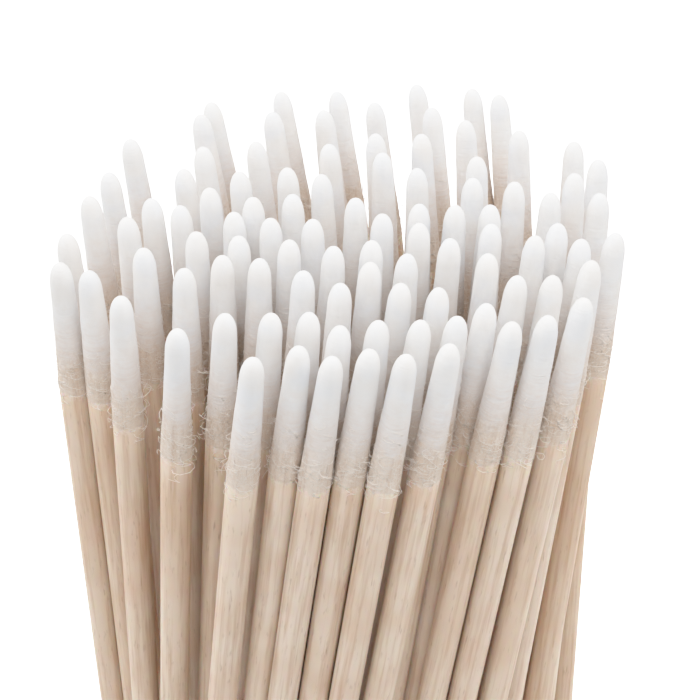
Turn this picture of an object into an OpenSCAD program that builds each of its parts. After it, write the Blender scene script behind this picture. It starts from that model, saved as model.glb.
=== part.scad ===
// A bunch of slim, pointed cotton swabs on birch sticks. An elastic tie gathers the
// sticks near their feet, and above it they fan out and twist.
// The origin is on the ground under the one swab that stands upright, with +X to the
// right, +Y to the back and +Z up. Millimetres.

/* [Swab] */
// Length of one swab, from its foot to the tip of its cotton
swab_l = 76; // [60:1:120]
// Diameter of the birch stick
stick_d = 2.2; // [1.8:0.1:3]
// Chamfer round the foot of the stick
foot_chamfer = 0.2; // [0.1:0.05:0.4]
// How much thinner than the cotton round it the stick's turned-down neck is
neck_step = 0.25; // [0.2:0.05:0.4]
// Length of the neck under the lower part of the cotton
neck_l = 2; // [1:0.5:4]
// Diameter of the blunt end of the stick's point
point_d = 0.8; // [0.6:0.1:1]

/* [Cotton head] */
// Length of the wound cotton, from its tip to its lower edge
cotton_l = 11; // [8:0.5:14]
// Depth of cotton between the stick's point and the tip
cap_l = 1.4; // [1:0.1:2]
// Length of the rounded nose
nose_l = 1.8; // [1.2:0.1:2.4]
// How much thinner than the stick the cotton is where its nose begins
shoulder_step = 0.45; // [0.3:0.05:0.7]
// Clearance between the cotton and the stick
wrap_gap = 0.02; // [0.01:0.01:0.05]

/* [Bunch] */
// Least gap between two sticks
stick_gap = 0.15; // [0.1:0.05:0.4]
// Width of the bunch at its feet, as a share of its width at the tips
foot_width = 0.94; // [0.86:0.02:0.98]
// Depth of the bunch at its feet, as a share of its depth at the tips
foot_depth = 0.5; // [0.45:0.01:0.55]
// How much more the back of the bunch is drawn in at its feet than the front
back_draw = 0.12; // [0.1:0.02:0.16]
// Turn of the tips about the upright swab, against their feet
twist = 31; // [20:1:38]

/* [Elastic tie] */
// Height of the tie's lower edge above the ground
tie_z = 9; // [5:1:20]
// Width of the tie's band
tie_w = 4; // [2:0.5:6]
// Thickness of the tie's band
tie_t = 0.9; // [0.6:0.1:1.5]
// Clearance between the tie and the outermost sticks
tie_gap = 0.1; // [0.05:0.05:0.3]

/* [Hidden] */
// Where the tips stand in the plan, right of and behind the upright swab, to half a
// millimetre. Each list is a row from left to right, and the first row is the front.
TIP_ROWS = [
    [[-6.5, -18.5], [-3.5, -17.5], [-1.5, -18.5], [1, -18], [3, -18.5], [6, -17.5]],
    [[-11.5, -15.5], [-8.5, -14], [-5.5, -14], [-3, -14], [-1, -15.5], [1.5, -15], [4.5, -15],
     [6.5, -14.5], [10, -15], [12.5, -14.5]],
    [[-15.5, -12], [-1, -11], [3, -11], [5.5, -11.5], [8.5, -13.5], [11, -10], [15, -12.5]],
    [[-20, -8], [-18, -9], [-11.5, -9], [-6.5, -8], [-3.5, -9.5], [1, -8.5], [9, -7.5], [13, -10],
     [16, -8]],
    [[-14.5, -6.5], [-9, -7.5], [-8, -5], [-4.5, -5.5], [-1.5, -6.5], [1.5, -5.5], [3.5, -7.5],
     [6.5, -5.5], [15.5, -5.5]],
    [[-20, -4.5], [-16, -2.5], [-11, -4.5], [-6, -3], [-3, -3], [1.5, -2.5], [4.5, -3.5], [9.5, -3.5],
     [12.5, -5], [14, -3.5], [18, -4.5]],
    [[-19, 0.5], [-14.5, 0], [-12.5, -1], [-8.5, -2], [-7.5, 0], [-4.5, 0.5], [0, 0], [4.5, -1],
     [7, -1], [9.5, -1], [14, 1], [17.5, 1]],
    [[-18, 4], [-12.5, 4.5], [-10.5, 1.5], [-8.5, 4], [-5, 4.5], [-2.5, 3.5], [4.5, 4.5], [8.5, 3],
     [11.5, 2.5], [16, 4]],
    [[-17, 9.5], [-11.5, 8], [-7.5, 9], [-2, 8.5], [2, 7], [1.5, 10.5], [5, 10.5], [9, 6.5],
     [16.5, 9.5], [18, 6.5]],
    [[-12, 14.5], [-11.5, 17.5], [-6.5, 15], [-2.5, 15.5], [1.5, 17.5], [6, 16], [8.5, 13.5],
     [12.5, 11.5]],
    [[-6, 20], [-1.5, 20], [5, 22.5], [9.5, 21], [11.5, 20]]
];
// The pitch of the sticks that those places are for, and the reach of the tips there
ROWS_PITCH = 2.35;
ROWS_REACH = 20;
// Rounds of moving swabs apart, and how near two swabs start that may come to touch
SETTLE_ROUNDS = 36;
NEAR_PITCHES = 4;

ROWS = [0 : len(TIP_ROWS) - 1];
pitch = stick_d + stick_gap;
rows_scale = pitch / ROWS_PITCH;
cotton_edge_z = swab_l - cotton_l;
point_z = swab_l - cap_l;
nose_z = swab_l - nose_l;
shoulder_d = stick_d - shoulder_step;
neck_z = cotton_edge_z + neck_l;

// A place in the plan, turned about the upright swab
function turned(place, angle) = [
    place.x * cos(angle) - place.y * sin(angle),
    place.x * sin(angle) + place.y * cos(angle)
];

// Where a swab's foot stands before the swabs settle: turned back, and drawn in
function drawn_foot(tip) =
    let (foot = turned(tip, -twist), behind = foot.y / (ROWS_REACH * rows_scale))
    [foot.x * foot_width, foot.y * (foot_depth - back_draw * behind)];

// A swab in the plan is four numbers: the place of its foot and the place of its tip
function foot_of(swab) = [swab[0], swab[1]];
function tip_of(swab) = [swab[2], swab[3]];
FIRST_TIPS = [for (row = TIP_ROWS, place = row) place * rows_scale];
FIRST_SWABS = [for (tip = FIRST_TIPS) concat(drawn_foot(tip), tip)];
NEIGHBOURS = [
    for (a = [0 : len(FIRST_TIPS) - 1]) [
        for (b = [0 : len(FIRST_TIPS) - 1])
            if (a != b && norm(FIRST_TIPS[a] - FIRST_TIPS[b]) < NEAR_PITCHES * pitch) b
    ]
];

// The step that a swab takes away from another where the two come nearest, which is
// half of what they lack there. A foot or a tip takes more of it the nearer it is.
function step_from(swab, other) =
    let (
        low = foot_of(swab) - foot_of(other),
        change = tip_of(swab) - tip_of(other) - low,
        share = max(0, min(1, -(low * change) / max(change * change, 1e-6))),
        apart = low + change * share,
        step = apart / norm(apart) * max(0, pitch - norm(apart)) / 2
    )
    concat(step * (1 - share), step * share);

// The swabs, moved apart round by round until none is nearer to another than a pitch.
// The upright swab stays where it is.
function settled(swabs, rounds) =
    rounds == 0 ? swabs : settled([
        for (a = [0 : len(swabs) - 1])
            let (steps = [for (b = NEIGHBOURS[a]) step_from(swabs[a], swabs[b])], ones = [for (step = steps) 1])
            norm(FIRST_TIPS[a]) == 0 ? swabs[a] : swabs[a] + ones * steps
    ], rounds - 1);
SWABS = settled(FIRST_SWABS, SETTLE_ROUNDS);

// The swabs of one row
function swabs_before(row) = row == 0 ? 0 : len(TIP_ROWS[row - 1]) + swabs_before(row - 1);
function row_swabs(row) = [for (seat = [0 : len(TIP_ROWS[row]) - 1]) SWABS[swabs_before(row) + seat]];

// The lean of a swab from upright, and the compass angle it leans towards
function run(swab) = tip_of(swab) - foot_of(swab);
function lean(swab) = asin(norm(run(swab)) / swab_l);
function heading(swab) = atan2(run(swab).y, run(swab).x);

// Height of the foot's middle, with the lowest point of its rim on the ground
function foot_z(swab) = (stick_d / 2 - foot_chamfer) * sin(lean(swab));

// Where the axis of a swab passes a height
function axis_at(swab, z) = foot_of(swab) + run(swab) * (z - foot_z(swab)) / (swab_l * cos(lean(swab)));

// Radius of the cotton below its nose, and of the stick's neck inside it
function cotton_r(z) = (stick_d - shoulder_step * (z - cotton_edge_z) / (nose_z - cotton_edge_z)) / 2;
function neck_r(z) = cotton_r(z) - neck_step / 2;

// The stick: a chamfered foot, a long shank, a turned-down neck and a blunt point
module stick() {
    neck_foot_z = cotton_edge_z + neck_step / 2;
    rotate_extrude($fn = 48)
        polygon([
            [0, 0],
            [stick_d / 2 - foot_chamfer, 0],
            [stick_d / 2, foot_chamfer],
            [stick_d / 2, cotton_edge_z],
            [neck_r(neck_foot_z), neck_foot_z],
            [neck_r(neck_z), neck_z],
            [point_d / 2, point_z - point_d / 4],
            [point_d / 4, point_z],
            [0, point_z]
        ]);
}

// The cotton: a bullet wound round the neck and point, flush with the shank
module cotton() {
    nose_steps = 6;
    neck_foot_z = cotton_edge_z + neck_step / 2 + wrap_gap;
    nose = [
        for (k = [0 : nose_steps])
            let (a = 90 * k / nose_steps)
            [k == nose_steps ? 0 : shoulder_d / 2 * cos(a), swab_l - nose_l * (1 - sin(a))]
    ];
    rotate_extrude($fn = 48)
        polygon(concat(
            [
                [0, point_z + wrap_gap],
                [point_d / 4 + wrap_gap, point_z + wrap_gap],
                [point_d / 2 + wrap_gap, point_z - point_d / 4],
                [neck_r(neck_z) + wrap_gap, neck_z],
                [neck_r(neck_foot_z) + wrap_gap, neck_foot_z],
                [stick_d / 2, cotton_edge_z + wrap_gap]
            ],
            nose
        ));
}

// Stands what it is given where a swab of the bunch stands
module standing(swab) {
    translate([foot_of(swab).x, foot_of(swab).y, foot_z(swab)])
        rotate([0, lean(swab), heading(swab)])
            children();
}

module row_of_sticks(row) {
    color([0.88, 0.8, 0.71])
        for (swab = row_swabs(row))
            standing(swab) stick();
}

module row_of_heads(row) {
    color([0.96, 0.95, 0.94])
        for (swab = row_swabs(row))
            standing(swab) cotton();
}

// The outline that a tight band takes round the outermost sticks, within its own width
module gathered_outline() {
    hull()
        for (swab = SWABS, z = [tie_z, tie_z + tie_w])
            translate(axis_at(swab, z))
                circle(d = stick_d / cos(lean(swab)) + 2 * tie_gap, $fn = 32);
}

module elastic_tie() {
    color([0.82, 0.72, 0.56])
        translate([0, 0, tie_z])
            linear_extrude(tie_w)
                difference() {
                    offset(r = tie_t, $fn = 32) gathered_outline();
                    gathered_outline();
                }
}

for (row = ROWS) {
    row_of_sticks(row);
    row_of_heads(row);
}
elastic_tie();
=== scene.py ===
"""Looks of a bunch of slim cotton swabs: birch sticks, wound cotton heads, loose fibres, an elastic tie."""
import logging
import math
from dataclasses import dataclass
from enum import Enum

import bpy
import numpy as np
from mathutils import Matrix, Vector


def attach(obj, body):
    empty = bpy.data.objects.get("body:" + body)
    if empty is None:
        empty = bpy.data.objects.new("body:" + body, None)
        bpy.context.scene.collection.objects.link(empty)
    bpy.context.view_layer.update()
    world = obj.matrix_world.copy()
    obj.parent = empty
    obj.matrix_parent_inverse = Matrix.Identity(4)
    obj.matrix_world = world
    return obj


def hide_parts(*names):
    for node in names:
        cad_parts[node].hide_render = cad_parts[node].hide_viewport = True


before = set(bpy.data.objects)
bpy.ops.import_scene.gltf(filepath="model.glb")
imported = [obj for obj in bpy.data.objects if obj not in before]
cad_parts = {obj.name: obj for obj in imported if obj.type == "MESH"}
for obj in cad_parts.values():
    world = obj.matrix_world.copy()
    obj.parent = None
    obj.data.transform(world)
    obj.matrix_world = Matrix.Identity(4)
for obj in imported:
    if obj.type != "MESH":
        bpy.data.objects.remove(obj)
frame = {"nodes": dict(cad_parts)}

Tree = bpy.types.NodeTree
Socket = bpy.types.NodeSocket

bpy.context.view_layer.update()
LOG = logging.getLogger("swab_bunch")

MM = 0.001
# Numbers of the rows of swabs in the frame, from the front.
ROWS = range(1, 12)
SEED = 20
# Random numbers that each swab has to itself: two for its bow, three for its place in the grain, one for its
# tint and six for the waves in its shape. The first of the last three also gives the fullness of its head.
SEEDS_PER_SWAB = 12


class Part(Enum):
    """The two pieces of a swab, as the frame's node names end."""

    STICKS = "sticks"
    HEADS = "heads"

    def node(self, row: int) -> str:
        """Name of the frame node that holds this piece of a row's swabs."""
        return f"row_{row}_{self.value}"


def linear(hex_code: str) -> tuple[float, float, float, float]:
    """Turns an sRGB hex colour into linear light.

    Args:
        hex_code: Colour as "#RRGGBB".

    Returns:
        Red, green, blue and alpha, linear.
    """
    srgb = [int(hex_code[i:i + 2], 16) / 255 for i in (1, 3, 5)]
    return tuple(c / 12.92 if c <= 0.04045 else ((c + 0.055) / 1.055) ** 2.4 for c in srgb) + (1.0,)


def add_node(tree: Tree, kind: str, inputs: dict[str | int, object] | None = None,
             **settings: object) -> bpy.types.Node:
    """Adds one shader node.

    Args:
        tree: The node tree.
        kind: The node's Blender type.
        inputs: Socket name or index to a value, or to a socket to link from.
        settings: Properties of the node.

    Returns:
        The new node.
    """
    node = tree.nodes.new(kind)
    for name, value in settings.items():
        setattr(node, name, value)
    for name, value in (inputs or {}).items():
        if isinstance(value, Socket):
            tree.links.new(value, node.inputs[name])
        else:
            node.inputs[name].default_value = value
    return node


def new_material(name: str) -> tuple[bpy.types.Material, Tree]:
    """Starts a material.

    Args:
        name: Name of the finish.

    Returns:
        The material and its empty node tree.
    """
    material = bpy.data.materials.new(name)
    material.use_nodes = True
    material.node_tree.nodes.clear()
    return material, material.node_tree


@dataclass(frozen=True)
class BirchFinish:
    """Birch, sanded and unvarnished: pale and matte, with fine straight grain along the stick.

    Sizes are in millimetres. Streaks and pores are drawn about twice as coarse as birch has them, to show at
    all. A band is the two noise values between which a layer comes in, and the largest share that it takes.
    """

    name: str = "birch, sanded"
    pale: str = "#E9D9C8"
    body: str = "#DDC8B2"
    warm: str = "#D0AE91"
    streak: str = "#B88F6B"
    pore: str = "#956D4E"
    lint: str = "#F4ECE4"
    roughness: float = 0.6
    glow_depth: float = 0.8
    streak_width: float = 0.16
    streak_length: float = 10.0
    pore_width: float = 0.1
    pore_length: float = 1.4
    clouds_per_mm: float = 0.16
    wisps_per_mm: float = 3.6
    cloud_band: tuple[float, float, float] = (0.42, 0.72, 0.5)
    streak_band: tuple[float, float, float] = (0.46, 0.74, 0.6)
    pore_band: tuple[float, float, float] = (0.62, 0.8, 0.45)
    lint_reach: float = 1.8

    def bare(self, tree: Tree, grain: Socket) -> tuple[Socket, ...]:
        """Adds the bare wood: tint by stick, slow clouds, long streaks and short pores.

        Args:
            tree: The material's node tree.
            grain: Place in the swab's own frame, in millimetres.

        Returns:
            The wood's colour and the height of its relief.
        """
        tint = add_node(tree, "ShaderNodeAttribute", attribute_name="tint").outputs["Fac"]
        # A dark line in the noise is about half a cell wide, so a width takes 0.4 or 0.5 of a cell.
        streak_place = add_node(tree, "ShaderNodeMapping", {
            "Vector": grain,
            "Scale": (0.4 / self.streak_width, 0.4 / self.streak_width, 1 / self.streak_length)})
        streaks = add_node(tree, "ShaderNodeTexNoise", {
            "Vector": streak_place.outputs[0], "Scale": 1.0, "Detail": 3.0, "Roughness": 0.65})
        pore_place = add_node(tree, "ShaderNodeMapping", {
            "Vector": grain,
            "Scale": (0.5 / self.pore_width, 0.5 / self.pore_width, 1 / self.pore_length)})
        pores = add_node(tree, "ShaderNodeTexNoise", {
            "Vector": pore_place.outputs[0], "Scale": 1.0, "Detail": 2.0})
        cloud = add_node(tree, "ShaderNodeTexNoise", {
            "Vector": grain, "Scale": self.clouds_per_mm, "Detail": 2.0})
        colour = add_node(tree, "ShaderNodeMix", {
            "Factor": tint, "A": linear(self.pale), "B": linear(self.body)},
            data_type="RGBA").outputs["Result"]
        for source, (low, high, most), hex_code in (
            (cloud, self.cloud_band, self.warm),
            (streaks, self.streak_band, self.streak),
            (pores, self.pore_band, self.pore),
        ):
            share = add_node(tree, "ShaderNodeMapRange", {
                "Value": source.outputs["Fac"], "From Min": low, "From Max": high, "To Max": most})
            colour = add_node(tree, "ShaderNodeMix", {
                "Factor": share.outputs[0], "A": colour, "B": linear(hex_code)},
                data_type="RGBA").outputs["Result"]
        relief = add_node(tree, "ShaderNodeMath", {0: streaks.outputs["Fac"], 1: pores.outputs["Fac"]},
                          operation="ADD")
        return colour, relief.outputs[0]

    def material(self) -> bpy.types.Material:
        """Builds the wood's material: bare wood, and lint on it just under the cotton.

        Returns:
            The material.
        """
        material, tree = new_material(self.name)
        grain = add_node(tree, "ShaderNodeAttribute", attribute_name="grain_mm").outputs["Vector"]
        along = add_node(tree, "ShaderNodeAttribute", attribute_name="above_edge_mm").outputs["Fac"]
        colour, relief = self.bare(tree, grain)
        near_cotton = add_node(tree, "ShaderNodeMapRange", {
            "Value": along, "From Min": -self.lint_reach, "From Max": 0.2})
        wisps = add_node(tree, "ShaderNodeTexNoise", {
            "Vector": grain, "Scale": self.wisps_per_mm, "Detail": 3.0, "Distortion": 1.4})
        lint = add_node(tree, "ShaderNodeMath", {0: near_cotton.outputs[0], 1: wisps.outputs["Fac"]},
                        operation="MULTIPLY")
        lint_share = add_node(tree, "ShaderNodeMapRange", {
            "Value": lint.outputs[0], "From Min": 0.25, "From Max": 0.5, "To Max": 0.5})
        colour = add_node(tree, "ShaderNodeMix", {
            "Factor": lint_share.outputs[0], "A": colour, "B": linear(self.lint)},
            data_type="RGBA").outputs["Result"]
        bump = add_node(tree, "ShaderNodeBump", {"Height": relief, "Strength": 0.3, "Distance": 0.04 * MM})
        # Sanding leaves a dull face with a faint, broad sheen. Thin pale wood lets warm light through, so the
        # gaps between the sticks turn brown and not grey.
        shader = add_node(tree, "ShaderNodeBsdfPrincipled", {
            "Base Color": colour,
            "Roughness": self.roughness,
            "IOR": 1.5,
            "Specular IOR Level": 0.3,
            "Subsurface Weight": 0.5,
            "Subsurface Radius": (1.0, 0.3, 0.1),
            "Subsurface Scale": self.glow_depth * MM,
            "Normal": bump.outputs[0],
        })
        add_node(tree, "ShaderNodeOutputMaterial", {"Surface": shader.outputs[0]})
        return material


@dataclass(frozen=True)
class CottonFinish:
    """Cotton, bleached and wound dry: white, soft, finely ringed, and so thin low down that the wood shows.

    Sizes are in millimetres, heights above the cotton's lower edge. The rings have the pitch of the wound
    strand. Curled fibres are drawn two to three times as thick as real ones, to show at all. The wood that
    shows through is the sticks' own, painted a little paler: painted light that makes up for the glow, which
    only the bare wood has.
    """

    name: str = "cotton, bleached and wound"
    # Painted light: the wood seen through the thin cotton is painted paler than the sticks, for the glow
    # through the wood that this finish lacks.
    under: BirchFinish = BirchFinish(pale="#F3E5D7", body="#E8D5C2", warm="#DCBFA3", streak="#C59F7E")
    white: str = "#F2F1F0"
    cool: str = "#EFF0F2"
    blush: str = "#F2EFEC"
    veil: str = "#E9DDD5"
    curl: str = "#F7EFE7"
    roughness: float = 0.9
    clouds_per_mm: float = 0.4
    tufts_per_mm: float = 1.4
    ring_pitch: float = 0.2
    veil_heights: tuple[float, float] = (8.6, 2.8)
    thin_heights: tuple[float, float] = (4.3, 1.5)
    thinnest: float = 0.9
    raggedness: float = 1.2
    curl_size: float = 0.45
    curl_share: float = 0.55

    def clouded_white(self, tree: Tree, grain: Socket) -> Socket:
        """Adds the white, with faint cool and warm clouds on it.

        Args:
            tree: The material's node tree.
            grain: Place in the swab's own frame, in millimetres.

        Returns:
            The colour.
        """
        cloud = add_node(tree, "ShaderNodeTexNoise", {
            "Vector": grain, "Scale": self.clouds_per_mm, "Detail": 2.0})
        colour = linear(self.white)
        for low, high, hex_code in ((0.5, 0.34, self.cool), (0.5, 0.68, self.blush)):
            share = add_node(tree, "ShaderNodeMapRange", {
                "Value": cloud.outputs["Fac"], "From Min": low, "From Max": high})
            colour = add_node(tree, "ShaderNodeMix", {
                "Factor": share.outputs[0], "A": colour, "B": linear(hex_code)},
                data_type="RGBA").outputs["Result"]
        return colour

    def rings(self, tree: Tree, grain: Socket) -> Socket:
        """Adds the wrinkles that the winding leaves: noise drawn out round the swab and packed along it."""
        place = add_node(tree, "ShaderNodeMapping", {
            "Vector": grain, "Scale": (0.6, 0.6, 1.6 / self.ring_pitch)})
        return add_node(tree, "ShaderNodeTexNoise", {
            "Vector": place.outputs[0], "Scale": 1.0, "Detail": 3.0, "Distortion": 0.6}).outputs["Fac"]

    def level(self, tree: Tree, grain: Socket, along: Socket) -> Socket:
        """Adds the height over the cotton's edge, shifted up and down by tufts, for layers with ragged tops.

        Args:
            tree: The material's node tree.
            grain: Place in the swab's own frame, in millimetres.
            along: Height over the cotton's edge.

        Returns:
            The ragged height.
        """
        tufts = add_node(tree, "ShaderNodeTexNoise", {
            "Vector": grain, "Scale": self.tufts_per_mm, "Detail": 4.0, "Roughness": 0.7})
        drift = add_node(tree, "ShaderNodeMapRange", {
            "Value": tufts.outputs["Fac"], "From Min": 0.25, "From Max": 0.75,
            "To Min": -self.raggedness, "To Max": self.raggedness})
        return add_node(tree, "ShaderNodeMath", {0: along, 1: drift.outputs[0]}, operation="ADD").outputs[0]

    def veiled(self, tree: Tree, colour: Socket, level: Socket, rings: Socket) -> Socket:
        """Adds a veil of the wood's colour that comes in from above, less of it on the crests of the rings.

        Args:
            tree: The material's node tree.
            colour: The white.
            level: The ragged height.
            rings: The rings' value.

        Returns:
            The colour.
        """
        veil = add_node(tree, "ShaderNodeMapRange", {
            "Value": level, "From Min": self.veil_heights[0], "From Max": self.veil_heights[1]},
            interpolation_type="SMOOTHSTEP")
        ring_share = add_node(tree, "ShaderNodeMapRange", {
            "Value": rings, "From Min": 0.36, "From Max": 0.64, "To Min": 0.55, "To Max": 1.0})
        share = add_node(tree, "ShaderNodeMath", {0: veil.outputs[0], 1: ring_share.outputs[0]},
                         operation="MULTIPLY")
        return add_node(tree, "ShaderNodeMix", {
            "Factor": share.outputs[0], "A": colour, "B": linear(self.veil)},
            data_type="RGBA").outputs["Result"]

    def thinned(self, tree: Tree, colour: Socket, level: Socket, grain: Socket, along: Socket) -> Socket:
        """Adds the thin zone, through which the wood shows, and which is all wood at the edge and under it.

        Args:
            tree: The material's node tree.
            colour: The veiled white.
            level: The ragged height.
            grain: Place in the swab's own frame, in millimetres.
            along: Height over the cotton's edge.

        Returns:
            The colour.
        """
        # The wood here is the paler palette: painted light in place of the glow through the bare wood.
        wood, _ = self.under.bare(tree, grain)
        thin = add_node(tree, "ShaderNodeMapRange", {
            "Value": level, "From Min": self.thin_heights[0], "From Max": self.thin_heights[1],
            "To Max": self.thinnest}, interpolation_type="SMOOTHSTEP")
        bare = add_node(tree, "ShaderNodeMapRange", {"Value": along, "From Min": 0.9, "From Max": -0.1})
        share = add_node(tree, "ShaderNodeMath", {0: thin.outputs[0], 1: bare.outputs[0]},
                         operation="MAXIMUM")
        return add_node(tree, "ShaderNodeMix", {"Factor": share.outputs[0], "A": colour, "B": wood},
                        data_type="RGBA").outputs["Result"]

    def curls(self, tree: Tree, level: Socket, grain: Socket, along: Socket) -> Socket:
        """Adds curled fibres in the thin zone. A curl is a line along which a noise passes its middle value.

        Args:
            tree: The material's node tree.
            level: The ragged height.
            grain: Place in the swab's own frame, in millimetres.
            along: Height over the cotton's edge.

        Returns:
            The curls' share of the colour.
        """
        sets = []
        for scale, offset in ((1 / self.curl_size, 0.0), (1.6 / self.curl_size, 17.0)):
            place = add_node(tree, "ShaderNodeMapping", {
                "Vector": grain, "Location": (offset, offset, offset)})
            noise = add_node(tree, "ShaderNodeTexNoise", {
                "Vector": place.outputs[0], "Scale": scale, "Detail": 1.0, "Distortion": 0.8})
            off_middle = add_node(tree, "ShaderNodeMath", {0: noise.outputs["Fac"], 1: 0.5},
                                  operation="SUBTRACT")
            distance = add_node(tree, "ShaderNodeMath", {0: off_middle.outputs[0]}, operation="ABSOLUTE")
            sets.append(add_node(tree, "ShaderNodeMapRange", {
                "Value": distance.outputs[0], "From Min": 0.045, "From Max": 0.01}).outputs[0])
        both = add_node(tree, "ShaderNodeMath", {0: sets[0], 1: sets[1]}, operation="MAXIMUM")
        low_down = add_node(tree, "ShaderNodeMapRange", {
            "Value": level, "From Min": self.thin_heights[0] + 1.5, "From Max": self.thin_heights[1],
            "To Max": self.curl_share})
        over_edge = add_node(tree, "ShaderNodeMapRange", {"Value": along, "From Min": -0.7, "From Max": 0.8})
        reach = add_node(tree, "ShaderNodeMath", {0: low_down.outputs[0], 1: over_edge.outputs[0]},
                         operation="MULTIPLY")
        return add_node(tree, "ShaderNodeMath", {0: both.outputs[0], 1: reach.outputs[0]},
                        operation="MULTIPLY").outputs[0]

    def relief(self, tree: Tree, rings: Socket, curls: Socket, along: Socket) -> Socket:
        """Adds the surface's height: rings that grow flatter towards the nose, and curls.

        Args:
            tree: The material's node tree.
            rings: The rings' value.
            curls: The curls' share.
            along: Height over the cotton's edge.

        Returns:
            The height.
        """
        ring_reach = add_node(tree, "ShaderNodeMapRange", {
            "Value": along, "From Min": self.veil_heights[0] + 1.0, "From Max": self.veil_heights[1],
            "To Min": 0.45})
        ring_height = add_node(tree, "ShaderNodeMath", {0: rings, 1: ring_reach.outputs[0]},
                               operation="MULTIPLY")
        curl_height = add_node(tree, "ShaderNodeMath", {0: curls, 1: 0.7}, operation="MULTIPLY")
        return add_node(tree, "ShaderNodeMath", {0: ring_height.outputs[0], 1: curl_height.outputs[0]},
                        operation="ADD").outputs[0]

    def material(self) -> bpy.types.Material:
        """Builds the cotton: clouded white, wound rings, a ragged veil and thin zone, and curled fibres.

        Returns:
            The material.
        """
        material, tree = new_material(self.name)
        grain = add_node(tree, "ShaderNodeAttribute", attribute_name="grain_mm").outputs["Vector"]
        along = add_node(tree, "ShaderNodeAttribute", attribute_name="above_edge_mm").outputs["Fac"]
        rings, level = self.rings(tree, grain), self.level(tree, grain, along)
        colour = self.veiled(tree, self.clouded_white(tree, grain), level, rings)
        colour = self.thinned(tree, colour, level, grain, along)
        curls = self.curls(tree, level, grain, along)
        colour = add_node(tree, "ShaderNodeMix", {"Factor": curls, "A": colour, "B": linear(self.curl)},
                          data_type="RGBA").outputs["Result"]
        bump = add_node(tree, "ShaderNodeBump", {
            "Height": self.relief(tree, rings, curls, along), "Strength": 0.75, "Distance": 0.1 * MM})
        # Loose dry fibres have no gloss, and those that stand off the wad give it a faint bloom at the rim.
        shader = add_node(tree, "ShaderNodeBsdfPrincipled", {
            "Base Color": colour,
            "Roughness": self.roughness,
            "IOR": 1.5,
            "Specular IOR Level": 0.15,
            "Sheen Weight": 0.15,
            "Sheen Roughness": 0.6,
            "Normal": bump.outputs[0],
        })
        add_node(tree, "ShaderNodeOutputMaterial", {"Surface": shader.outputs[0]})
        return material


@dataclass(frozen=True)
class RubberFinish:
    """Natural rubber band, die cut: warm tan and satin, with faint lengthwise drag lines.

    The pitch of the lines is in millimetres.
    """

    name: str = "natural rubber, cut"
    tan: str = "#CDB083"
    deep: str = "#B8976A"
    roughness: float = 0.48
    clouds_per_metre: float = 180.0
    line_pitch: float = 0.25

    def material(self) -> bpy.types.Material:
        """Builds the rubber: slow clouds of colour and fine level drag lines.

        Returns:
            The material.
        """
        material, tree = new_material(self.name)
        place = add_node(tree, "ShaderNodeTexCoord").outputs["Object"]
        cloud = add_node(tree, "ShaderNodeTexNoise", {
            "Vector": place, "Scale": self.clouds_per_metre, "Detail": 3.0})
        share = add_node(tree, "ShaderNodeMapRange", {
            "Value": cloud.outputs["Fac"], "From Min": 0.35, "From Max": 0.65})
        colour = add_node(tree, "ShaderNodeMix", {
            "Factor": share.outputs[0], "A": linear(self.deep), "B": linear(self.tan)}, data_type="RGBA")
        line_place = add_node(tree, "ShaderNodeMapping", {
            "Vector": place, "Scale": (60.0, 60.0, 1 / (self.line_pitch * MM))})
        lines = add_node(tree, "ShaderNodeTexNoise", {
            "Vector": line_place.outputs[0], "Scale": 1.0, "Detail": 2.0})
        bump = add_node(tree, "ShaderNodeBump", {
            "Height": lines.outputs["Fac"], "Strength": 0.3, "Distance": 0.04 * MM})
        # The knife drags lines along the band, and unfilled rubber lets a little light in.
        shader = add_node(tree, "ShaderNodeBsdfPrincipled", {
            "Base Color": colour.outputs["Result"],
            "Roughness": self.roughness,
            "IOR": 1.52,
            "Subsurface Weight": 0.15,
            "Subsurface Radius": (1.0, 0.6, 0.3),
            "Subsurface Scale": 0.6 * MM,
            "Normal": bump.outputs[0],
        })
        add_node(tree, "ShaderNodeOutputMaterial", {"Surface": shader.outputs[0]})
        return material


@dataclass(frozen=True)
class SweepFinish:
    """Studio paper, lit through from behind: even white, with no texture of its own."""

    name: str = "studio paper, white"
    paper: str = "#E6E6E6"
    light: str = "#FFFFFF"
    glow: float = 1.4

    def material(self) -> bpy.types.Material:
        """Builds the paper's matte white and its own glow.

        Returns:
            The material.
        """
        material, tree = new_material(self.name)
        shader = add_node(tree, "ShaderNodeBsdfPrincipled", {
            "Base Color": linear(self.paper),
            "Roughness": 1.0,
            "Specular IOR Level": 0.0,
            "Emission Color": linear(self.light),
            "Emission Strength": self.glow,
        })
        add_node(tree, "ShaderNodeOutputMaterial", {"Surface": shader.outputs[0]})
        return material


@dataclass
class SwabLines:
    """The axes of the swabs of one row, read from the frame. Metres, one line of each array for each swab."""

    row: int
    foot: np.ndarray
    axis: np.ndarray
    length: np.ndarray
    edge: np.ndarray
    seeds: np.ndarray

    @property
    def count(self) -> int:
        """Number of swabs in the row."""
        return len(self.foot)

    @property
    def phases(self) -> np.ndarray:
        """Six angles of each swab's own, shaped for sums with heights and turns."""
        return self.seeds[:, 6:12, None, None] * 2 * math.pi

    def repeated(self, owner: np.ndarray) -> "SwabLines":
        """One line for each swab number in a list, which may name a swab many times."""
        return SwabLines(self.row, self.foot[owner], self.axis[owner], self.length[owner], self.edge[owner],
                         self.seeds[owner])

    def frames(self) -> tuple[np.ndarray, np.ndarray]:
        """Two unit vectors across each swab, at right angles to its axis.

        Returns:
            The sideways and the outward vector of each swab.
        """
        side = np.cross(self.axis, np.array([0.0, 1.0, 0.0]))
        side /= np.linalg.norm(side, axis=1, keepdims=True)
        return side, np.cross(self.axis, side)


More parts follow.
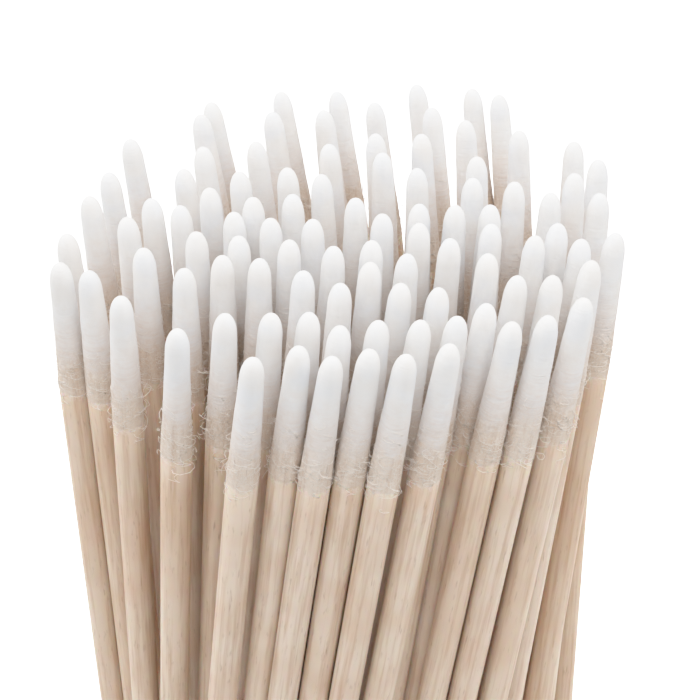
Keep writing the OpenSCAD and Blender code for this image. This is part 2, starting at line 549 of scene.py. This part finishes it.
def islands(mesh: bpy.types.Mesh) -> list[np.ndarray]:
    """Splits a frame mesh into its separate solids.

    Vertices at one place, to a ten-thousandth of a millimetre, are merged. Each takes the lowest label along
    its edges until none changes, and each label is one solid.

    Args:
        mesh: The mesh of a frame node.

    Returns:
        The merged vertices of each solid, in metres.
    """
    corners = np.empty(len(mesh.vertices) * 3)
    mesh.vertices.foreach_get("co", corners)
    points, merged = np.unique(np.round(corners.reshape(-1, 3), 7), axis=0, return_inverse=True)
    ends = np.empty(len(mesh.edges) * 2, dtype=np.int64)
    mesh.edges.foreach_get("vertices", ends)
    ends = merged.reshape(-1)[ends].reshape(-1, 2)
    labels = np.arange(len(points))
    while True:
        lowest = np.minimum(labels[ends[:, 0]], labels[ends[:, 1]])
        fresh = labels.copy()
        np.minimum.at(fresh, ends[:, 0], lowest)
        np.minimum.at(fresh, ends[:, 1], lowest)
        fresh = fresh[fresh]
        if (fresh == labels).all():
            return [points[labels == label] for label in np.unique(labels)]
        labels = fresh


def read_row(row: int, nodes: dict[str, bpy.types.Object], rng: np.random.Generator) -> SwabLines:
    """Reads where the swabs of a row stand.

    A stick's axis joins the middles of its lowest and highest rims. Its head is the one that lies nearest the
    axis, and gives the swab's full length and the height of the cotton's lower edge.

    Args:
        row: Number of the row, from the front.
        nodes: The frame's nodes.
        rng: Source of the seeds that make each swab its own.

    Returns:
        The row's axes.
    """
    rim = 0.1 * MM
    heads = islands(nodes[Part.HEADS.node(row)].data)
    middles = np.array([head.mean(axis=0) for head in heads])
    feet, axes, lengths, edges = [], [], [], []
    for stick in islands(nodes[Part.STICKS.node(row)].data):
        centred = stick - stick.mean(axis=0)
        rough = np.linalg.svd(centred, full_matrices=False)[2][0]
        along = centred @ (rough * np.sign(rough[2]))
        foot = stick[along < along.min() + rim].mean(axis=0)
        top = stick[along > along.max() - rim].mean(axis=0)
        axis = (top - foot) / np.linalg.norm(top - foot)
        off = middles - foot
        nearest = np.argmin(np.linalg.norm(off - np.outer(off @ axis, axis), axis=1))
        reach = (heads[nearest] - foot) @ axis
        feet.append(foot)
        axes.append(axis)
        lengths.append(reach.max())
        edges.append(reach.min())
    return SwabLines(row, np.array(feet), np.array(axes), np.array(lengths), np.array(edges),
                     rng.random((len(feet), SEEDS_PER_SWAB)))


def bow(lines: SwabLines, along: np.ndarray, most: float = 0.05 * MM) -> np.ndarray:
    """How far a slightly crooked stick strays from its axis: half a sine wave, none at the foot and the tip.

    Args:
        lines: The swabs.
        along: Distances up the swabs, one line for each swab.
        most: The largest stray at half height.

    Returns:
        Vectors to add, one for each distance.
    """
    side, out = lines.frames()
    turn = lines.seeds[:, 0, None] * 2 * math.pi
    way = np.cos(turn) * side + np.sin(turn) * out
    size = most * lines.seeds[:, 1, None] * np.sin(math.pi * along / lines.length[:, None])
    return size[..., None] * way[:, None, :]


def tube_quads(rings: int, sides: int) -> np.ndarray:
    """Works out the faces of a tube: each joins two neighbours on a ring to the two above them.

    Args:
        rings: Number of rings.
        sides: Number of points round a ring.

    Returns:
        Four vertex numbers for each face.
    """
    here = np.arange(sides)
    ahead = (here + 1) % sides
    low = (np.arange(rings - 1) * sides)[:, None]
    return np.stack([low + here, low + ahead, low + sides + ahead, low + sides + here],
                    axis=-1).reshape(-1, 4)


def closed_revolve(lines: SwabLines, along: np.ndarray,
                   radius: np.ndarray) -> tuple[np.ndarray, np.ndarray, np.ndarray, np.ndarray]:
    """Carries a profile round each swab's axis and closes it with a pole at each end.

    A point is the foot, plus its distance along the axis, plus its radius times a unit vector that turns once
    round the axis, plus the stick's bow.

    Args:
        lines: The swabs.
        along: Distance of each ring up the axis, swabs by rings.
        radius: Radius of each ring point, swabs by rings by sides.

    Returns:
        Vertices, quads, triangles at the poles, and each vertex in the swab's own frame (across, out, along).
    """
    count, rings, sides = radius.shape
    turn = np.linspace(0, 2 * math.pi, sides, endpoint=False)
    side, out = lines.frames()
    ring = np.cos(turn)[None, :, None] * side[:, None, :] + np.sin(turn)[None, :, None] * out[:, None, :]
    centre = lines.foot[:, None, :] + along[..., None] * lines.axis[:, None, :] + bow(lines, along)
    shell = centre[:, :, None, :] + radius[..., None] * ring[:, None, :, :]
    poles = centre[:, [0, -1], :]
    vertices = np.concatenate([shell.reshape(count, -1, 3), poles], axis=1)
    own = np.stack(np.broadcast_arrays(
        radius * np.cos(turn), radius * np.sin(turn), along[..., None]), axis=-1)
    own_poles = np.stack([np.zeros((count, 2)), np.zeros((count, 2)), along[:, [0, -1]]], axis=-1)
    own = np.concatenate([own.reshape(count, -1, 3), own_poles], axis=1)
    quads = tube_quads(rings, sides)
    here = np.arange(sides)
    ahead = (here + 1) % sides
    first, last = rings * sides, rings * sides + 1
    top = (rings - 1) * sides
    fans = np.concatenate([
        np.stack([np.full(sides, first), ahead, here], axis=-1),
        np.stack([np.full(sides, last), top + here, top + ahead], axis=-1),
    ])
    step = (np.arange(count) * (rings * sides + 2))[:, None, None]
    return (vertices.reshape(-1, 3), (quads + step).reshape(-1, 4), (fans + step).reshape(-1, 3),
            own.reshape(-1, 3))


def mesh_object(name: str, vertices: np.ndarray, quads: np.ndarray,
                triangles: np.ndarray) -> bpy.types.Object:
    """Puts arrays into a smooth-shaded mesh object at the origin.

    Args:
        name: Name of the piece.
        vertices: Vertices in metres.
        quads: Four-sided faces.
        triangles: Three-sided faces.

    Returns:
        The linked object.
    """
    mesh = bpy.data.meshes.new(name)
    mesh.vertices.add(len(vertices))
    mesh.vertices.foreach_set("co", vertices.ravel())
    corners = np.concatenate([quads.ravel(), triangles.ravel()])
    mesh.loops.add(len(corners))
    mesh.loops.foreach_set("vertex_index", corners)
    sizes = np.concatenate([np.full(len(quads), 4), np.full(len(triangles), 3)])
    starts = np.concatenate([[0], np.cumsum(sizes)[:-1]])
    mesh.polygons.add(len(sizes))
    mesh.polygons.foreach_set("loop_start", starts)
    mesh.polygons.foreach_set("loop_total", sizes)
    mesh.polygons.foreach_set("use_smooth", np.ones(len(sizes), dtype=bool))
    mesh.update(calc_edges=True)
    mesh.validate()
    piece = bpy.data.objects.new(name, mesh)
    bpy.context.scene.collection.objects.link(piece)
    return piece


def add_attributes(piece: bpy.types.Object, grain: np.ndarray, above_edge: np.ndarray,
                   tint: np.ndarray) -> None:
    """Stores what the finishes read: place in the swab's own frame, height over the cotton's edge and tint.

    Args:
        piece: The piece.
        grain: Vector of each vertex, in millimetres.
        above_edge: Height of each vertex over the cotton's lower edge, in millimetres.
        tint: A number from 0 to 1 that each swab has to itself.
    """
    attributes = piece.data.attributes
    attributes.new("grain_mm", "FLOAT_VECTOR", "POINT").data.foreach_set(
        "vector", grain.astype(np.float32).ravel())
    attributes.new("above_edge_mm", "FLOAT", "POINT").data.foreach_set("value", above_edge.astype(np.float32))
    attributes.new("tint", "FLOAT", "POINT").data.foreach_set("value", tint.astype(np.float32))


def own_grain(lines: SwabLines, own: np.ndarray,
              spread: float = 400.0) -> tuple[np.ndarray, np.ndarray, np.ndarray]:
    """Works out the finishes' attributes for a piece made of one equal share of vertices for each swab.

    Args:
        lines: The swabs.
        own: Each vertex in its swab's own frame, in metres.
        spread: The farthest that a swab's grain is shifted, in millimetres.

    Returns:
        Grain place in millimetres, shifted so that no two swabs look alike, height over the edge, and tint.
    """
    each = len(own) // lines.count
    shift = np.repeat(lines.seeds[:, 2:5] * spread, each, axis=0)
    edge = np.repeat(lines.edge, each)
    return own / MM + shift, (own[:, 2] - edge) / MM, np.repeat(lines.seeds[:, 5], each)


def shank_swell(lines: SwabLines, heights: np.ndarray, turn: np.ndarray, most: float = 0.012) -> np.ndarray:
    """How a stick's shank departs from a true cylinder: an oval, a slow drift in thickness and faint flats.

    Each is a sine of the angle round the stick or of the height up it, with a phase of the swab's own.

    Args:
        lines: The swabs.
        heights: Heights up the stick in millimetres.
        turn: Angles round the stick.
        most: Share of the radius that the departure may reach.

    Returns:
        A factor for the radius, swabs by heights by angles.
    """
    phase = lines.phases
    up, round_it = heights[None, :, None], turn[None, None, :]
    oval = np.cos(2 * round_it + phase[:, 0])
    drift = np.sin(up / 9 + phase[:, 1])
    flats = np.cos(5 * round_it + up / 30 + phase[:, 2])
    return 1 + most * (0.5 * oval + 0.3 * drift + 0.2 * flats)


@dataclass
class Sticks:
    """The birch sticks of a row. Millimetres, the same outline as the solids they stand for."""

    diameter: float = 2.2
    foot_chamfer: float = 0.2
    neck_step: float = 0.25
    neck_length: float = 2.0
    neck_taper: float = 0.05
    point_diameter: float = 0.8
    cap: float = 1.4
    sides: int = 26
    shank_rings: int = 20

    def build(self, lines: SwabLines, finish: bpy.types.Material) -> bpy.types.Object:
        """Builds the sticks of a row: a chamfered foot, a shank, a turned-down neck and a blunt point.

        Args:
            lines: The row's swabs.
            finish: The birch.

        Returns:
            The row's sticks as one piece.
        """
        edge, top = lines.edge.mean() / MM, lines.length.mean() / MM - self.cap
        wide, neck, blunt = self.diameter / 2, (self.diameter - self.neck_step) / 2, self.point_diameter / 2
        shank = np.linspace(self.foot_chamfer, edge, self.shank_rings)
        heights = np.concatenate([[0.0], shank,
                                  [edge + self.neck_step / 2, edge + self.neck_length, top - blunt / 2, top]])
        radii = np.concatenate([[wide - self.foot_chamfer], np.full(self.shank_rings, wide),
                                [neck, neck - self.neck_taper, blunt, blunt / 2]])
        turn = np.linspace(0, 2 * math.pi, self.sides, endpoint=False)
        radius = radii[None, :, None] * MM * shank_swell(lines, heights, turn)
        along = np.broadcast_to(heights * MM, (lines.count, len(heights)))
        vertices, quads, fans, own = closed_revolve(lines, along, radius)
        piece = mesh_object(f"birch_sticks_{lines.row}", vertices, quads, fans)
        add_attributes(piece, *own_grain(lines, own))
        piece.data.materials.append(finish)
        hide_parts(Part.STICKS.node(lines.row))
        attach(piece, "root")
        return piece


@dataclass
class Heads:
    """The wound cotton heads of a row. Millimetres, the outline and socket of the solids they stand for."""

    stick: Sticks
    shoulder_diameter: float = 1.64
    nose: float = 1.8
    gap: float = 0.02
    skirt: float = 1.0
    skirt_dip: float = 0.05
    skirt_wave: float = 0.02
    over_wood: float = 0.012
    fullness: tuple[float, float] = (-0.03, 0.04)
    lump: float = 0.016
    bluntness: float = 0.85
    pole_share: float = 0.02
    sides: int = 30
    skirt_rings: int = 6
    body_rings: int = 22
    nose_rings: int = 10

    def outer(self, lines: SwabLines, edge: float, length: float,
              turn: np.ndarray) -> tuple[np.ndarray, np.ndarray]:
        """The outside of the heads.

        Over the skirt it rises out of the wood at an uneven height, because waves round the stick grow with
        the depth under the cotton's edge. Above the edge it is a straight taper, plus half a sine of fullness
        that each swab has to itself and slow lumps, and then a quarter of an ellipse, blunter for a power
        under one.

        Args:
            lines: The row's swabs.
            edge: Height of the cotton's lower edge.
            length: Length of the swab.
            turn: Angles round the swab.

        Returns:
            Heights of the rings, and radii by swab, ring and side.
        """
        low = np.linspace(edge - self.skirt, edge, self.skirt_rings, endpoint=False)
        body = np.linspace(edge, length - self.nose, self.body_rings)
        rise = np.linspace(0, math.pi / 2, self.nose_rings + 2)[1:-1]
        heights = np.concatenate([low, body, length - self.nose * (1 - np.sin(rise)), [length]])
        level = heights[None, :, None] - edge
        share = np.clip(level / (length - self.nose - edge), 0, 1)
        phase = lines.phases
        wood = self.stick.diameter / 2 * shank_swell(lines, heights, turn)
        radius = wood * (1 - share) + self.shoulder_diameter / 2 * share
        depth = np.clip(-level / self.skirt, 0, 1)
        waves = (np.sin(3 * turn + phase[:, 3]) + 0.7 * np.sin(7 * turn + phase[:, 4])
                 + 0.5 * np.sin(12 * turn + phase[:, 5]))
        radius = (radius + self.over_wood * (1 - share) - (self.skirt_dip + self.over_wood) * depth
                  + self.skirt_wave * depth * waves)
        slim, full = self.fullness
        fullness = slim + (full - slim) * lines.seeds[:, 9, None, None]
        lumps = (np.sin(level * 1.3 + 2 * turn + phase[:, 0]) + np.sin(level * 2.3 - turn + phase[:, 1])
                 + 0.7 * np.sin(level * 0.8 + 3 * turn + phase[:, 2])) / 2
        radius = (radius + fullness * np.sin(math.pi * share)
                  + self.lump * lumps * np.sin(math.pi * share) ** 0.5)
        cap = np.concatenate([
            np.ones(len(low) + len(body)), np.cos(rise) ** self.bluntness, [self.pole_share]])
        return heights, radius * cap[None, :, None]

    def build(self, lines: SwabLines, finish: bpy.types.Material) -> bpy.types.Object:
        """Builds the heads of a row: a socket on the stick, inside the outer surface.

        Args:
            lines: The row's swabs.
            finish: The cotton.

        Returns:
            The row's heads as one piece.
        """
        stick = self.stick
        edge, length = lines.edge.mean() / MM, lines.length.mean() / MM
        neck, blunt = (stick.diameter - stick.neck_step) / 2 + self.gap, stick.point_diameter / 2
        top = length - stick.cap
        inner_heights = np.array([top + self.gap, top - blunt / 2, edge + stick.neck_length,
                                  edge + stick.neck_step / 2 + self.gap])
        inner_radii = np.array([blunt / 2 + self.gap, blunt + self.gap, neck - stick.neck_taper, neck])
        turn = np.linspace(0, 2 * math.pi, self.sides, endpoint=False)
        outer_heights, outer_radii = self.outer(lines, edge, length, turn)
        inner = np.broadcast_to(inner_radii[None, :, None], (lines.count, len(inner_radii), self.sides))
        heights = np.concatenate([inner_heights, outer_heights])
        along = np.broadcast_to(heights * MM, (lines.count, len(heights)))
        radius = np.concatenate([inner, outer_radii], axis=1) * MM
        vertices, quads, fans, own = closed_revolve(lines, along, radius)
        piece = mesh_object(f"cotton_heads_{lines.row}", vertices, quads, fans)
        add_attributes(piece, *own_grain(lines, own))
        piece.data.materials.append(finish)
        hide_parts(Part.HEADS.node(lines.row))
        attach(piece, "root")
        return piece


@dataclass
class Fibres:
    """Loose cotton fibres that stand off the heads, mostly round their lower edge. Millimetres.

    They are two to three times as thick as real ones, to show at all. Levels are heights over the cotton's
    edge: the middle and the spread of those at the edge, and the lowest and the highest of the others. The
    waver is its size up the swab, and round it in radians. The narrowing is the share of its thickness that a
    fibre loses towards its end.
    """

    head: Heads
    per_swab: int = 46
    points: int = 9
    thickness: float = 0.04
    clearance: float = 0.03
    most_lift: float = 0.75
    edge_share: float = 0.78
    edge_level: tuple[float, float] = (0.9, 1.1)
    high_level: tuple[float, float] = (1.5, 5.5)
    high_lift: float = 0.25
    sweep: float = 0.75
    drift: float = 0.55
    waver: tuple[float, float] = (0.16, 0.25)
    narrowing: float = 0.6
    free_share: float = 0.35
    taper_height: float = 9.0
    all_white_height: float = 9.0
    grain_spread: float = 50.0

    def spines(self, lines: SwabLines, rng: np.random.Generator) -> np.ndarray:
        """Draws the middle line of each fibre.

        A fibre leaves the cotton, turns part of the way round the swab while it drifts up or down, and either
        comes back to the surface as half a sine or ends free, with a small waver of its own.

        Args:
            lines: The fibres' swabs, one line for each fibre.
            rng: Source of the fibres' places.

        Returns:
            Points in metres, fibres by points.
        """
        count = lines.count
        s = np.linspace(0, 1, self.points)[None, :]
        at_edge = rng.random((count, 1)) < self.edge_share
        level = np.where(at_edge, rng.normal(*self.edge_level, (count, 1)),
                         rng.uniform(*self.high_level, (count, 1)))
        start = rng.random((count, 1)) * 2 * math.pi
        sweep = rng.normal(0, self.sweep, (count, 1))
        waver_up, waver_round = self.waver
        high = level + rng.normal(0, self.drift, (count, 1)) * s + waver_up * np.sin(7 * s + start)
        lift = self.most_lift * rng.random((count, 1)) ** 3 * np.where(at_edge, 1.0, self.high_lift)
        away = np.where(rng.random((count, 1)) < self.free_share, lift * s ** 1.6, lift * np.sin(math.pi * s))
        wide = self.head.stick.diameter
        taper = np.clip(high / self.taper_height, 0, 1)
        surface = wide / 2 + taper * (self.head.shoulder_diameter - wide) / 2
        radius = (surface + self.clearance + away) * MM
        angle = start + sweep * s + waver_round * np.sin(8 * s + 2 * start)
        side, out = lines.frames()
        along = lines.edge[:, None] + high * MM
        return (lines.foot[:, None, :] + along[..., None] * lines.axis[:, None, :] + bow(lines, along)
                + (radius * np.cos(angle))[..., None] * side[:, None, :]
                + (radius * np.sin(angle))[..., None] * out[:, None, :])

    def tubes(self, spine: np.ndarray, lean: np.ndarray) -> tuple[np.ndarray, np.ndarray, np.ndarray]:
        """Wraps each line in a thin three-sided tube that narrows towards its end and is closed at both ends.

        Args:
            spine: Points in metres, fibres by points.
            lean: A vector for each fibre, to turn the tube's sides by.

        Returns:
            Vertices in metres, quads, and the triangles at the ends.
        """
        count, sides = len(spine), 3
        forward = np.gradient(spine, axis=1)
        forward /= np.linalg.norm(forward, axis=2, keepdims=True)
        across = np.cross(forward, lean[:, None, :])
        across /= np.linalg.norm(across, axis=2, keepdims=True)
        up = np.cross(forward, across)
        turn = np.linspace(0, 2 * math.pi, sides, endpoint=False)
        s = np.linspace(0, 1, self.points)[None, :, None, None]
        thick = self.thickness / 2 * MM * (1 - self.narrowing * s ** 3)
        ring = np.cos(turn)[:, None] * across[:, :, None, :] + np.sin(turn)[:, None] * up[:, :, None, :]
        shell = spine[:, :, None, :] + thick * ring
        quads = tube_quads(self.points, sides)
        last = (self.points - 1) * sides
        caps = np.array([[2, 1, 0], [last, last + 1, last + 2]])
        step = (np.arange(count) * self.points * sides)[:, None, None]
        return shell.reshape(-1, 3), (quads + step).reshape(-1, 4), (caps + step).reshape(-1, 3)

    def build(self, lines: SwabLines, finish: bpy.types.Material,
              rng: np.random.Generator) -> bpy.types.Object:
        """Builds the fibres of a row. Their finish sees them too high on the cotton for any wood to show.

        Args:
            lines: The row's swabs.
            finish: The cotton.
            rng: Source of the fibres' places.

        Returns:
            The row's fibres as one piece.
        """
        each = lines.repeated(np.repeat(np.arange(lines.count), self.per_swab))
        side, _ = each.frames()
        vertices, quads, caps = self.tubes(self.spines(each, rng), each.axis + 0.3 * side)
        piece = mesh_object(f"stray_fibres_{lines.row}", vertices, quads, caps)
        place = np.repeat(rng.random((each.count, 3)) * self.grain_spread, len(vertices) // each.count,
                          axis=0)
        add_attributes(piece, place, np.full(len(vertices), self.all_white_height), np.zeros(len(vertices)))
        piece.data.materials.append(finish)
        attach(piece, "root")
        return piece


@dataclass
class ElasticTie:
    """The elastic tie round the sticks, which keeps its solid and takes its finish."""

    node: str = "elastic_tie"

    def dress(self, nodes: dict[str, bpy.types.Object], finish: bpy.types.Material) -> bpy.types.Object:
        """Gives the tie its rubber.

        Args:
            nodes: The frame's nodes.
            finish: The rubber.

        Returns:
            The tie's object.
        """
        tie = nodes[self.node]
        for slot in tie.material_slots:
            slot.material = finish
        return tie


@dataclass(frozen=True)
class Softbox:
    """A square soft light. Metres and watts."""

    name: str
    place: tuple[float, float, float]
    size: float
    power: float
    colour: str


@dataclass
class Studio:
    """White sweep, soft lights, film and camera. Metres, degrees, and pixels of a 700 by 700 picture.

    The shoulder is where bright light bends towards white: pairs of light and colour, both linear.
    """

    picture: float = 700.0
    sensor: float = 36.0
    place: tuple[float, float, float] = (-0.0004, -0.1145, 0.1411)
    pitch: float = 34.3
    focal_pixels: float = 1849.0
    tips: tuple[float, float, float] = (0.0, 0.0, 0.07)
    horizon: float = 0.56
    ceiling: float = 1.3
    brightest: float = 1.5
    shoulder: tuple[tuple[float, float], ...] = ((0.65, 0.65), (0.85, 0.81), (1.05, 0.91))
    lamps: tuple[Softbox, ...] = (
        Softbox("left_softbox", (-0.5, 0.1, 0.25), 0.45, 0.9, "#FFFFFF"),
        Softbox("right_softbox", (0.5, 0.05, 0.25), 0.45, 0.6, "#FFFCF8"),
        Softbox("front_softbox", (0.0, -0.36, 0.56), 0.5, 1.1, "#FFFFFF"),
    )

    def sweep(self) -> bpy.types.Object:
        """Lays the white floor that runs away behind the bunch: a level sheet that turns up far off.

        Returns:
            The floor.
        """
        steps, reach, turn_up = 40, 1.6, 0.8
        run = np.linspace(-reach, reach, steps)
        rise = np.maximum(run - turn_up, 0) ** 2
        width = np.array([-reach, reach])
        vertices = np.stack([np.repeat(width, steps), np.tile(run, 2), np.tile(rise, 2)], axis=-1)
        first = np.arange(steps - 1)
        quads = np.stack([first + 1, first, first + steps, first + steps + 1], axis=-1)
        floor = mesh_object("studio_sweep", vertices, quads, np.zeros((0, 3), dtype=int))
        floor.data.materials.append(SweepFinish().material())
        # The pieces' diffuse light passes the glowing paper by, or the gaps between sticks would wash out.
        floor.visible_diffuse = False
        return floor

    def lamp(self, box: Softbox) -> None:
        """Hangs one soft light, aimed at the tips.

        Args:
            box: The light.
        """
        light = bpy.data.lights.new(box.name, "AREA")
        light.size = box.size
        light.energy = box.power
        light.color = linear(box.colour)[:3]
        lamp = bpy.data.objects.new(box.name, light)
        lamp.location = box.place
        aim = Vector(self.tips) - Vector(box.place)
        lamp.rotation_euler = aim.to_track_quat("-Z", "Y").to_euler()
        bpy.context.scene.collection.objects.link(lamp)

    def world(self) -> None:
        """Fills the room with even white light, brighter overhead, as under a large ceiling softbox.

        The strength runs straight from the horizon's to the ceiling's as the direction of the light rises.
        """
        world = bpy.data.worlds.new("white room")
        world.use_nodes = True
        tree = world.node_tree
        background = tree.nodes["Background"]
        background.inputs["Color"].default_value = linear("#FFFFFF")
        direction = add_node(tree, "ShaderNodeTexCoord").outputs["Generated"]
        height = add_node(tree, "ShaderNodeSeparateXYZ", {"Vector": direction}).outputs["Z"]
        strength = add_node(tree, "ShaderNodeMapRange", {
            "Value": height, "To Min": self.horizon, "To Max": self.ceiling})
        tree.links.new(strength.outputs[0], background.inputs["Strength"])
        bpy.context.scene.world = world

    def camera(self) -> bpy.types.Object:
        """Sets the camera in front of the bunch, looking down on the tips.

        Returns:
            The camera.
        """
        data = bpy.data.cameras.new("camera")
        data.sensor_width = self.sensor
        data.lens = self.focal_pixels / self.picture * self.sensor
        data.clip_start = 0.005
        camera = bpy.data.objects.new("camera", data)
        tilt = Matrix.Rotation(math.radians(90 - self.pitch), 4, "X")
        camera.matrix_world = Matrix.Translation(Vector(self.place)) @ tilt
        bpy.context.scene.collection.objects.link(camera)
        bpy.context.scene.camera = camera
        return camera

    def film(self) -> None:
        """Sets how light becomes colour: as it is up to about two thirds, and then bent softly towards white.

        So bright cotton stays apart from the white paper.
        """
        settings = bpy.context.scene.view_settings
        settings.view_transform = "Standard"
        settings.use_curve_mapping = True
        mapping = settings.curve_mapping
        mapping.white_level = (self.brightest,) * 3
        all_channels = mapping.curves[3]
        for light, colour in self.shoulder:
            all_channels.points.new(light / self.brightest, colour)
        mapping.update()

    def build(self) -> None:
        """Sets up the film, the camera, the floor and the lights."""
        self.film()
        self.camera()
        self.sweep()
        self.world()
        for box in self.lamps:
            self.lamp(box)


def main() -> None:
    """Builds the bunch, row by row, then the studio round it."""
    logging.basicConfig(level=logging.INFO, format="%(name)s: %(message)s")
    rng = np.random.default_rng(SEED)
    birch, cotton, rubber = BirchFinish().material(), CottonFinish().material(), RubberFinish().material()
    warm_white = "#FFF8F1"
    loose = CottonFinish(
        name="cotton, loose fibres", white=warm_white, cool=warm_white, blush=warm_white).material()
    sticks = Sticks()
    heads = Heads(sticks)
    fibres = Fibres(heads)
    nodes = frame["nodes"]
    for row in ROWS:
        lines = read_row(row, nodes, rng)
        for piece in (sticks.build(lines, birch), heads.build(lines, cotton),
                      fibres.build(lines, loose, rng)):
            LOG.info("%s: %d swabs, %d faces", piece.name, lines.count, len(piece.data.polygons))
    LOG.info("%s: dressed", ElasticTie().dress(nodes, rubber).name)
    Studio().build()


if __name__ == "__main__":
    main()
